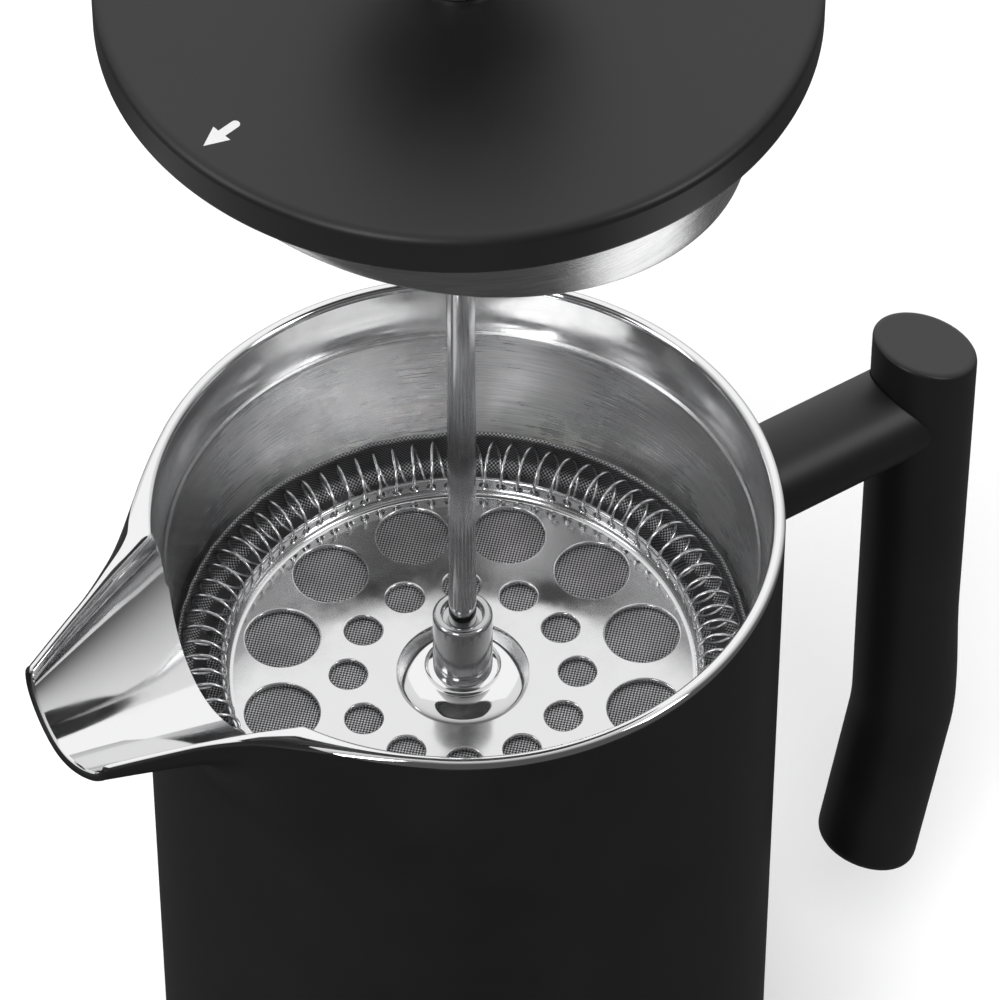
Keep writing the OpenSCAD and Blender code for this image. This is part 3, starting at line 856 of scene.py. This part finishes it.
def handle_bar():
    """Round bar, cut at a slant above, bent in the middle and thicker towards its lower end."""
    ring = full_turn(96)
    middle, middle_grow = 26, 0.8 * BAR_GROW             # where it starts to thicken, over the bend
    way = np.array([math.sin(BEND_ANGLE), 0, math.cos(BEND_ANGLE)])

    def run_to_cut(p):
        height = p[..., 2] - BAR_LOW_Z + BAR_LOW_TILT * (p[..., 0] - BAR_LOW_X)
        return p - height[..., None] / (way[2] + BAR_LOW_TILT * way[0]) * way

    def between(a, b, count):
        return [a + (b - a) * t for t in np.linspace(0, 1, count)[1:]]

    top = bar_ring(0, ring)
    top[:, 2] = BAR_TOP_Z - (top[:, 0] - BAR_X) * BAR_TOP_TILT
    rows = rounded_end(np.array([BAR_X, 0, BAR_TOP_Z]), top, -UP, 1.3)
    rows += between(rows[-1], bar_ring(0, ring) + UP * middle, 7)
    rows += [bar_ring(0, ring, middle_grow * smoothstep(t)) + UP * middle * (1 - t)
             for t in np.linspace(0, 1, 9)[1:]]
    rows += [bar_ring(BEND_ANGLE * t, ring, middle_grow + (BAR_GROW - middle_grow) * t)
             for t in np.linspace(0, 1, 13)[1:]]
    bend_end = bar_ring(BEND_ANGLE, ring, BAR_GROW)
    axis_end = np.array([BAR_X - BEND_R + BEND_R * way[2], 0, BEND_Z - BEND_R * way[0]])
    low_end = rounded_end(run_to_cut(axis_end), run_to_cut(bend_end), way, 3.0)[::-1]
    rows += between(bend_end, low_end[0], 6)[:-1] + low_end
    finish_piece(grid_mesh("bar", rows), "pot", PLASTIC, ["handle_bar"], 50)


def handle_arm():
    """Round arm with a small weld flare on the pot and a rounded shoulder where it meets the bar."""
    ring = full_turn(96)
    flare, shoulder, sunk = 0.9, 0.35, -0.5

    def row(radius, place):
        y, z = radius * np.cos(ring), radius * np.sin(ring)
        return np.stack([place(y), y, ARM_Z + z], -1)

    def off_pot(gap):
        return lambda y: np.sqrt((POT_R + gap) ** 2 - y * y)

    def off_bar(gap):
        return lambda y: BAR_X - np.sqrt(BAR_R ** 2 - y * y) - gap

    turn = quarter_turn(7)
    rows = [row(0, off_pot(sunk)), row(ARM_R + flare, off_pot(sunk))]
    rows += [row(ARM_R + flare * (1 - math.sin(b)), off_pot(flare * (1 - math.cos(b)))) for b in turn]
    rows += [row(ARM_R, off_pot(flare + 0.1)), row(ARM_R, off_bar(shoulder + 0.1))]
    rows += [row(ARM_R - shoulder * (1 - math.cos(b)), off_bar(shoulder * (1 - math.sin(b)))) for b in turn]
    rows += [row(ARM_R - shoulder, off_bar(sunk)), row(0, off_bar(sunk))]
    finish_piece(grid_mesh("arm", rows), "pot", PLASTIC, ["handle_arm"], 50)


# ---- lid
def turned_piece(name, body, material, replaced, corners, segments=192, angle=35):
    """Piece turned from an outline with rounded corners."""
    return finish_piece(lathe(name, fillet(corners), segments), body, material, replaced, angle)


def lid():
    """The cap with its rounded edges, and the plate that closes it from below."""
    bush_r = 5.25
    roof, seat, skirt = LID_TOP - 2.4, LID_PLATE_Z + 0.85, COLLAR_TOP_R + 1.2
    turned_piece("lid_cover", "lid", PLASTIC, ["lid_cap"],
                 [(bush_r, LID_TOP, 0.3), (CAP_R, LID_TOP, 1.6), (CAP_R, LID_Z, 0.7), (skirt, LID_Z, 0.3),
                  (skirt, roof, 1.0), (12, roof, 0.6), (12, seat), (bush_r, seat)], 256)
    plate_r, plate_top = COLLAR_TOP_R - 0.9, LID_PLATE_Z + SHEET_T
    turned_piece("lid_inner_plate", "lid", BASE, ["lid_plate"],
                 [(bush_r, LID_PLATE_Z, 0.2), (plate_r, LID_PLATE_Z), (plate_r, plate_top),
                  (bush_r, plate_top)])


def collar():
    """Cone of steel sheet with a slanted, rounded lower edge."""
    ring, roll = full_turn(256), 0.45
    k = COLLAR_TILT * np.cos(ring)
    low_edge = (COLLAR_MID_Z - k * (COLLAR_TOP_R - COLLAR_SLOPE * LID_Z)) / (1 + k * COLLAR_SLOPE)
    top = LID_PLATE_Z - 0.05

    def wall(share, inwards=0.0):
        z = LID_Z + (low_edge + 0.5 - LID_Z) * share
        return circle(ring, COLLAR_TOP_R - COLLAR_SLOPE * (LID_Z - z) - inwards, z)

    rows = [circle(ring, COLLAR_TOP_R, top), circle(ring, COLLAR_TOP_R, LID_Z)]
    rows += [wall(share) for share in (0.02, 0.3, 0.6, 0.9, 0.99)]
    edge_r = COLLAR_TOP_R - COLLAR_SLOPE * (LID_Z - low_edge)
    for b in np.linspace(0, math.pi, 9):
        r = edge_r - SHEET_T / 2 * (1 - math.cos(b))
        rows.append(circle(ring, r, low_edge + roll * (1 - math.sin(b))))
    rows += [wall(share, SHEET_T) for share in (0.99, 0.6, 0.3, 0.0)]
    rows.append(circle(ring, COLLAR_TOP_R - SHEET_T, top))
    finish_piece(grid_mesh("collar", rows, True), "lid", COLLAR, ["lid_collar"], 50)


def arrow():
    """Printed arrow, 0.02 mm proud of the cap."""
    half, head, tail, tip = 0.75, 1.9, -3.5, 3.8
    outline = [(0, -half), (0, -head), (tip, 0), (0, head), (0, half)]
    outline += arc(tail + half, 0, half, 90, 270, 9)
    n = len(outline)
    turn = Matrix.Rotation(ARROW_TURN, 3, "Z")
    verts = []
    for z in (LID_TOP - 0.1, LID_TOP + 0.02):
        verts += [tuple(turn @ Vector((ARROW_R + x, y, z))) for x, y in outline]
    faces = [tuple(range(n))[::-1], tuple(range(n, 2 * n))]
    faces += [(k, (k + 1) % n, n + (k + 1) % n, n + k) for k in range(n)]
    finish_piece(make_mesh("pouring_arrow", verts, faces), "lid", INK, ["arrow_mark"], 20)


# ---- plunger
def bush_and_knob():
    """The lid's bush, and the knob with its moulding seam over a sleeve on the rod."""
    low_z, top_z = span("guide_bush")
    flange_r, flange_z = high("guide_bush", 1), LID_TOP + 0.05
    barrel = flange_r - 1.4
    groove_r, groove_low, groove_top = barrel - 0.6, low_z + 0.8, low_z + 2.1
    turned_piece("bush", "bush", TURNED, ["guide_bush"],
                 [(BORE_R, low_z, 0.15), (barrel, low_z, 0.3), (barrel, groove_low), (groove_r, groove_low),
                  (groove_r, groove_top), (barrel, groove_top), (barrel, flange_z), (flange_r, flange_z, 0.2),
                  (flange_r, top_z, 0.4), (BORE_R, top_z, 0.3)], 128)
    knob_z, knob_top = span("knob")
    knob_r = high("knob", 1)
    half = (knob_top - knob_z) / (1 + math.sin(math.radians(KNOB_FOOT)))
    middle = knob_top - half
    oval = arc(0, middle, knob_r, -KNOB_FOOT, 90, 60, half)
    seam = [(knob_r - 0.02, middle - 0.25), (knob_r - 0.14, middle), (knob_r - 0.02, middle + 0.25)]
    oval = [p for p in oval if p[1] < middle - 0.3] + seam + [p for p in oval if p[1] > middle + 0.3]
    foot = knob_r * math.cos(math.radians(KNOB_FOOT))
    well_r, well_z, chamfer = 4, knob_z + 17, 0.5        # the well that holds the insert
    outline = [(well_r, well_z), (well_r, knob_z + chamfer), (well_r + 0.4, knob_z), (foot - 0.2, knob_z)]
    outline += oval[1:-1] + [(0, knob_top), (0, well_z)]
    finish_piece(lathe("grip_knob", outline, 160), "plunger", PLASTIC, ["knob"], 30)
    sleeve_low, sleeve_top = span("knob_sleeve")
    sleeve_r = 4.2
    turned_piece("sleeve", "plunger", TURNED, ["knob_sleeve"],
                 [(BORE_R, sleeve_low), (sleeve_r, sleeve_low, 0.4), (sleeve_r, sleeve_top, 0.4),
                  (BORE_R, sleeve_top)], 96)
    rod_low, rod_top = span("rod")
    turned_piece("centre_rod", "plunger", ROD, ["rod"],
                 [(0, rod_low), (ROD_R, rod_low, 0.5), (ROD_R, rod_top, 0.5), (0, rod_top)], 96)


def hub():
    """The clamping nut with its seam and recessed mouth, on a domed disc."""
    nut_low, nut_top = span("hub_nut")
    nut_r = high("hub_nut", 1)
    seam_r, mouth_r = nut_r - 0.3, ROD_R + 1.35
    turned_piece("clamp_nut", "plunger", NUT, ["hub_nut"],
                 [(BORE_R, nut_low), (nut_r, nut_low, 0.2), (nut_r, nut_low + 2.2, 0.12),
                  (seam_r, nut_low + 2.3), (seam_r, nut_low + 2.45), (nut_r, nut_low + 2.55, 0.12),
                  (nut_r, nut_top, 0.85), (mouth_r, nut_top, 0.3), (mouth_r - 0.4, nut_top - 1.3),
                  (BORE_R, nut_top - 1.5)], 128)
    low_z, disc_r = low("hub_disc", 2), high("hub_disc", 1)
    edge_z, dome_h, seat_z = low_z + 0.5, 1.2, low_z + 2.1
    inner_r, outer_r = nut_r + 1.4, disc_r - 0.2
    dome = [(inner_r + (outer_r - inner_r) * t, edge_z + dome_h * (1 - t * t)) for t in np.linspace(1, 0, 14)]
    outline = [(BORE_R, low_z), (disc_r, low_z), (disc_r, edge_z - 0.15)] + dome
    outline += [(nut_r + 1.0, seat_z - 0.1), (nut_r + 0.8, seat_z), (BORE_R, seat_z)]
    finish_piece(lathe("domed_disc", outline, 160), "plunger", MIRROR, ["hub_disc"], 40)


def hole_places():
    """(centre x, centre y, radius) of every hole in the filter plate."""
    rings = ((LARGE_RING_R, LARGE_HOLE_R, math.pi / HOLES), (SMALL_RING_R, SMALL_HOLE_R, 0))
    return [(ring_r * math.cos(a), ring_r * math.sin(a), hole_r)
            for ring_r, hole_r, first in rings for a in full_turn(HOLES, first + HOLE_TURN)]


def pierced_sheet(z, inner_r, outer_r, grow, sides=48):
    """Flat ring at the height z with the plate's holes in it, each grown by grow."""
    loops = [(0, 0, inner_r, 96), (0, 0, outer_r, COIL_TURNS * 4)]
    loops += [(x, y, r + grow, sides) for x, y, r in hole_places()]
    points, edges = [], []
    for x, y, r, n in loops:
        base = len(points)
        points += [Vector(p[:2]) for p in circle(full_turn(n), r, z, x, y)]
        edges += [(base + k, base + (k + 1) % n) for k in range(n)]
    flat, _, tris, _, _, _ = delaunay_2d_cdt(points, edges, [], 0, 1e-6)
    holes, keep = hole_places(), []
    for t in tris:
        cx, cy = sum(flat[i].x for i in t) / 3, sum(flat[i].y for i in t) / 3
        on_ring = inner_r < math.hypot(cx, cy) < outer_r
        if on_ring and all(math.hypot(cx - x, cy - y) > r + grow for x, y, r in holes):
            keep.append(tuple(t))
    return [(p.x, p.y, z) for p in flat], keep


def filter_plate():
    """Pressed plate: holes with rolled edges, and a flange with one hole for each turn of the coil."""
    top, under = PLATE_Z, PLATE_Z - PLATE_T
    roll, guard = 0.3, 0.05
    bore_rim, flat_edge = BORE_R + 0.4, 0.1
    corner_r, flange_in, flange_out = 1.2, FLANGE_R - 0.4, FLANGE_R + 0.4
    flat_r = flange_in - corner_r
    shape = Patches()
    for z in (top, under):
        verts, faces = pierced_sheet(z, bore_rim, flat_r - flat_edge, roll + guard)
        shape.gather(np.array(verts), faces)

    # rolled edge and wall of each hole, from the top sheet round to the under one
    section = [(roll + guard, top)] + arc(roll, top - roll, roll, 90, 180, 5)
    section += arc(roll, under + roll, roll, 180, 270, 5) + [(roll + guard, under)]
    for x, y, r in hole_places():
        shape.rings(full_turn(48), [(r + off, z) for off, z in section], x, y)
    shape.rings(full_turn(96), [(bore_rim, top), (BORE_R, top), (BORE_R, under), (bore_rim, under)])

    # corner between plate and flange, inside and outside, up to the row of small holes
    columns, cell_h = COIL_TURNS * 4, 2.0
    ring = full_turn(columns)
    hole_low, hole_high = top + corner_r, top + corner_r + cell_h
    shape.rings(ring, [(flat_r - flat_edge, top)] + arc(flat_r, hole_low, corner_r, -90, 0, 7))
    reach = flange_out - flat_r
    shape.rings(ring, [(flat_r - flat_edge, under)] + arc(flat_r, under + reach, reach, -90, 0, 9)
                + [(flange_out, hole_low)])

    # one cell of the flange for each turn of the coil, with a round hole through it
    cell, bored, edge = 2 * math.pi / COIL_TURNS, 0.82, 0.12
    mid_z = (hole_low + hole_high) / 2
    half = cell / 2
    outline = [(-half + cell * k / 4, hole_low) for k in range(4)]
    outline += [(half, hole_low + cell_h * k / 4) for k in range(4)]
    outline += [(half - cell * k / 4, hole_high) for k in range(4)]
    outline += [(-half, hole_high - cell_h * k / 4) for k in range(4)]
    cell_u, cell_z = np.array(outline).T
    aim = np.arctan2(cell_z - mid_z, cell_u * FLANGE_R)
    for k in range(COIL_TURNS):
        centre = COIL_FIRST + cell * k

        def hole_row(radius, r):
            return circle(centre + radius * np.cos(aim) / FLANGE_R, r, mid_z + radius * np.sin(aim))

        rows = [circle(centre + cell_u, flange_in, cell_z), hole_row(bored + edge, flange_in),
                hole_row(bored, flange_in + edge), hole_row(bored, flange_out - edge),
                hole_row(bored + edge, flange_out), circle(centre + cell_u, flange_out, cell_z)]
        shape.add(np.array(rows), True)

    # the flange's upper strip and its rounded top
    crown = (flange_out - flange_in) / 2
    crown_z = FLANGE_TOP - crown
    section = [(flange_in, hole_high), (flange_in, crown_z - guard)]
    section += arc(FLANGE_R, crown_z, crown, 180, 0, 7)
    section += [(flange_out, crown_z - guard), (flange_out, hole_high)]
    shape.rings(full_turn(columns, COIL_FIRST - half), section)
    finish_piece(shape.object("pierced_plate"), "plunger", SHEET, ["filter_plate"],
                 30, 4e-6)


def coil():
    """Spring wound through the flange's holes and over its edge, closed into a ring."""
    per_turn = 28
    n = COIL_TURNS * per_turn
    t = np.arange(n) / n
    around = 2 * math.pi * t + COIL_FIRST
    wind = 2 * math.pi * COIL_TURNS * t + COIL_PHASE
    loose = 0.10 * np.sin(7 * around + 0.6) + 0.08 * np.sin(19 * around)
    r = COIL_R + (COIL_TURN_R + loose * 0.5) * np.cos(wind)
    z = COIL_Z + (COIL_TURN_R - 0.1 + loose) * np.sin(wind)
    lean = around + 0.006 * np.sin(wind) + 0.004 * np.sin(11 * around)
    path = np.stack([r * np.cos(lean), r * np.sin(lean), z], -1)
    finish_piece(tube("spring_coil", path, COIL_WIRE_R, 8, True), "plunger", WIRE,
                 ["coil_spring"], 80, 1e-7)


def screen():
    """Wire cloth: a flat disc under the plate, turned up outside the coil, with a folded, crimped lip."""
    t, corner, wall_uv_r = 0.32, 2.2, 49.5
    low_z = PLATE_Z - PLATE_T - t - 0.07
    base_r, lip_r = MESH_R - 0.25, MESH_R - 0.05
    inner = [(r, low_z + t) for r in (ROD_R + 0.1, 12, 24, 36, MESH_R - corner - 3)]
    inner += arc(base_r - t - corner, low_z + t + corner, corner, -90, 0, 7)
    inner += [(base_r - t, z) for z in np.linspace(low_z + t + corner + 0.6, MESH_TOP - 1.5, 6)]
    lip = [(lip_r - 0.62, MESH_TOP - 1.2), (lip_r - 0.7, MESH_TOP - 0.6), (lip_r - 0.5, MESH_TOP - 0.18),
           (lip_r - 0.25, MESH_TOP - 0.05), (lip_r - 0.05, MESH_TOP - 0.3), (lip_r, MESH_TOP - 0.9)]
    outer = [(base_r, z) for z in np.linspace(MESH_TOP - 1.6, low_z + corner + 0.6, 6)]
    outer += arc(base_r - corner, low_z + corner, corner, 0, -90, 7)
    outer += [(r, low_z) for r in (36, 12, ROD_R + 0.1)]
    profile = np.array(inner + lip + outer)
    length = np.concatenate([[0], np.cumsum(np.hypot(*np.diff(profile, axis=0).T))])
    columns = 721                                        # the last one lies on the first
    ring = np.linspace(0, 2 * math.pi, columns)
    wall = smoothstep((profile[:, 1] - PLATE_Z - 1.5) / 5.0) * (profile[:, 0] > 40)
    ripple = 0.05 * np.sin(ring * 41) + 0.06 * np.sin(ring * 17 + 1.0) + 0.05 * np.sin(ring * 67 + 2.1)
    pleat = np.abs(np.sin(ring * 130)) * smoothstep(np.sin(ring * 3 + 1.4) * 1.6)
    r = profile[:, 0] - wall * (0.12 + ripple + 0.12 * pleat)[:, None]
    height = 0.16 * np.sin(ring * 5 + 0.4) + 0.12 * np.sin(ring * 13) + 0.05 * np.sin(ring * 51)
    z = profile[:, 1] - wall * (0.3 + height)[:, None]
    verts = circle(ring[:, None], r, z)
    flat_part = (profile[:, 0] < MESH_R - 4)[None, :, None]
    uv_wall = np.stack(np.broadcast_arrays(ring[:, None] * wall_uv_r, length[None, :]), -1)
    uvs = np.where(flat_part, verts[..., :2], uv_wall)
    faces = grid_faces(columns, len(profile), False, True)
    obj = make_mesh("wire_screen", verts.reshape(-1, 3), faces, uvs.reshape(-1, 2))
    finish_piece(obj, "plunger", CLOTH, ["mesh_screen"], 60)
    # faces above the plate, the upright wall and lip, take the darker copy of the cloth: painted shade
    obj.data.materials.append(SHADED_WALL_CLOTH)
    for face in obj.data.polygons:
        if face.center.z > (PLATE_Z + 0.6) * MM:
            face.material_index = 1


# ---- build
rim_bead()
spout_lining()
spout_outside()
liner_pieces()
shell()
handle_bar()
handle_arm()
lid()
collar()
arrow()
bush_and_knob()
hub()
filter_plate()
coil()
screen()

# CAD nodes that are shown as they are
KEPT = {
    "base_plate": BASE, "handle_stud": TURNED, "handle_backing_plate": TURNED, "lid_screws": TURNED,
    "bush_ring": TURNED, "rod_seal": SILICONE, "knob_insert": BRASS, "cross_plate": MIRROR,
    "filter_nut": TURNED,
}
for node, material in KEPT.items():
    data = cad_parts[node].data
    data.materials.clear()
    data.materials.append(material)


# ---- floor, light and camera
SKY_BRIGHT = (0.357, 0.55, 0.755)      # direction of the brightest part of the sky


def add_lamp(name, kind, energy, place=(0, 0, 0), receivers=None, **settings):
    """Lamp that lights everything, or only the pieces in receivers, and then isn't seen itself."""
    data = bpy.data.lights.new(name, kind)
    data.energy = energy
    for key, value in settings.items():
        setattr(data, key, value)
    lamp = linked(name, data)
    lamp.location = place
    if receivers:
        lamp.visible_camera = False
        lamp.light_linking.receiver_collection = receivers
    return lamp


def soft_box(name, place, aim, size, energy, size_y=None, receivers=None):
    """Rectangular lamp that faces the point aim."""
    lamp = add_lamp(name, "AREA", energy, place, receivers,
                    shape="RECTANGLE", size=size, size_y=size_y or size)
    lamp.rotation_euler = (Vector(aim) - Vector(place)).to_track_quat("-Z", "Y").to_euler()


def group(name, pieces):
    """Collection that a lamp's light can be limited to."""
    made = bpy.data.collections.new(name)
    for piece in pieces:
        made.objects.link(bpy.data.objects[piece])
    return made


def floor():
    half = 12.0 / MM
    corners = [(-half, -half, 0), (half, -half, 0), (half, half, 0), (-half, half, 0)]
    paper = make_mesh("floor", corners, [(0, 1, 2, 3)])
    paper.location.z = -0.0002
    paper.data.materials.append(Look("paper_floor", (0.9, 0.9, 0.9), 0.9).material)
    paper.visible_glossy = False           # steel and lacquer reflect the dim studio, not the paper


def sky():
    """A soft sky that is brightest overhead and towards the back."""
    world = bpy.data.worlds.new("studio")
    bpy.context.scene.world = world
    world.use_nodes = True
    nodes, links = world.node_tree.nodes, world.node_tree.links
    place = nodes.new("ShaderNodeTexCoord").outputs["Generated"]
    aim = nodes.new("ShaderNodeVectorMath")
    aim.operation = "DOT_PRODUCT"
    aim.inputs[1].default_value = SKY_BRIGHT
    links.new(place, aim.inputs[0])
    level = nodes.new("ShaderNodeMapRange")
    level.interpolation_type = "SMOOTHSTEP"
    for key, value in (("From Min", -0.1), ("From Max", 0.85), ("To Min", 0.10), ("To Max", 0.95)):
        level.inputs[key].default_value = value
    links.new(aim.outputs["Value"], level.inputs["Value"])
    back = nodes["Background"]
    back.inputs["Color"].default_value = (1, 1, 1, 1)
    links.new(level.outputs["Result"], back.inputs["Strength"])


def studio():
    # panels lying beside the pot, that light only the lid and its collar from below
    raised = group("raised_pieces", ("collar", "lid_cover"))
    for name, x, y, size_y, energy in (("right_panel", 0.150, -0.155, 0.18, 0.14),
                                       ("left_panel", -0.166, 0.130, 0.22, 0.10)):
        soft_box(name, (x, y, 0.002), (x, y, 1.0), 0.14, energy, size_y, raised)

    # small glows inside the pot, that only the liner's wall and band reflect; nothing shades them
    lining = group("lining_pieces", ("liner_wall", "liner_band"))
    for name, place, radius, energy in (("right_glow", (-0.012, 0.008, 0.163), 0.011, 0.0060),
                                        ("left_glow", (0.015, -0.002, 0.163), 0.011, 0.0035),
                                        ("low_glow", (0.018, 0.008, 0.118), 0.014, 0.0070),
                                        ("well_glow", (0, 0, 0.105), 0.040, 0.0025)):
        glow = add_lamp(name, "POINT", energy, place, lining, shadow_soft_size=radius, use_shadow=False)
        # the filter would shade the ones below it if rays had to hit them
        glow.data.cycles.use_multiple_importance_sampling = place[2] > PLATE_Z * MM

    sun = add_lamp("sun", "SUN", 1.9, angle=math.radians(40))
    sun.rotation_euler = Vector((-0.55, -0.5, 1.0)).to_track_quat("Z", "Y").to_euler()
    sun.visible_glossy = False             # its broad disc would wash out the nut's reflections
    middle = (0, 0, 0.15)
    soft_box("back_panel", Vector(SKY_BRIGHT) * 1.5, middle, 1.6, 2.0)
    soft_box("right_box", (0.78, -1.28, 1.05), middle, 0.45, 6, 0.8)
    soft_box("left_box", (-1.30, 0.30, 0.85), middle, 0.5, 4, 0.8)
    soft_box("front_box", (-1.00, -0.63, 0.85), middle, 0.35, 5, 0.7)
    bpy.context.scene.view_settings.view_transform = "Standard"


def camera():
    """The photo's viewpoint, from a distance in millimetres, with its aim shifted off the rim's middle."""
    azimuth, elevation = math.radians(-32.66), math.radians(49.06)
    distance, across, up_shift = 1179, 6.40, 2.02
    back = Vector((math.sin(azimuth) * math.cos(elevation), -math.cos(azimuth) * math.cos(elevation),
                   math.sin(elevation)))
    right = Vector((math.cos(azimuth), math.sin(azimuth), 0))
    up = back.cross(right)
    data = bpy.data.cameras.new("camera")
    data.sensor_width = 36
    data.lens = 252.4
    data.clip_start, data.clip_end = 0.05, 60
    made = linked("camera", data)
    made.location = (Vector((0, 0, RIM_Z)) + back * distance + right * across + up * up_shift) * MM
    made.rotation_euler = Matrix((right, up, back)).transposed().to_euler()
    bpy.context.scene.camera = made


floor()
sky()
studio()
camera()
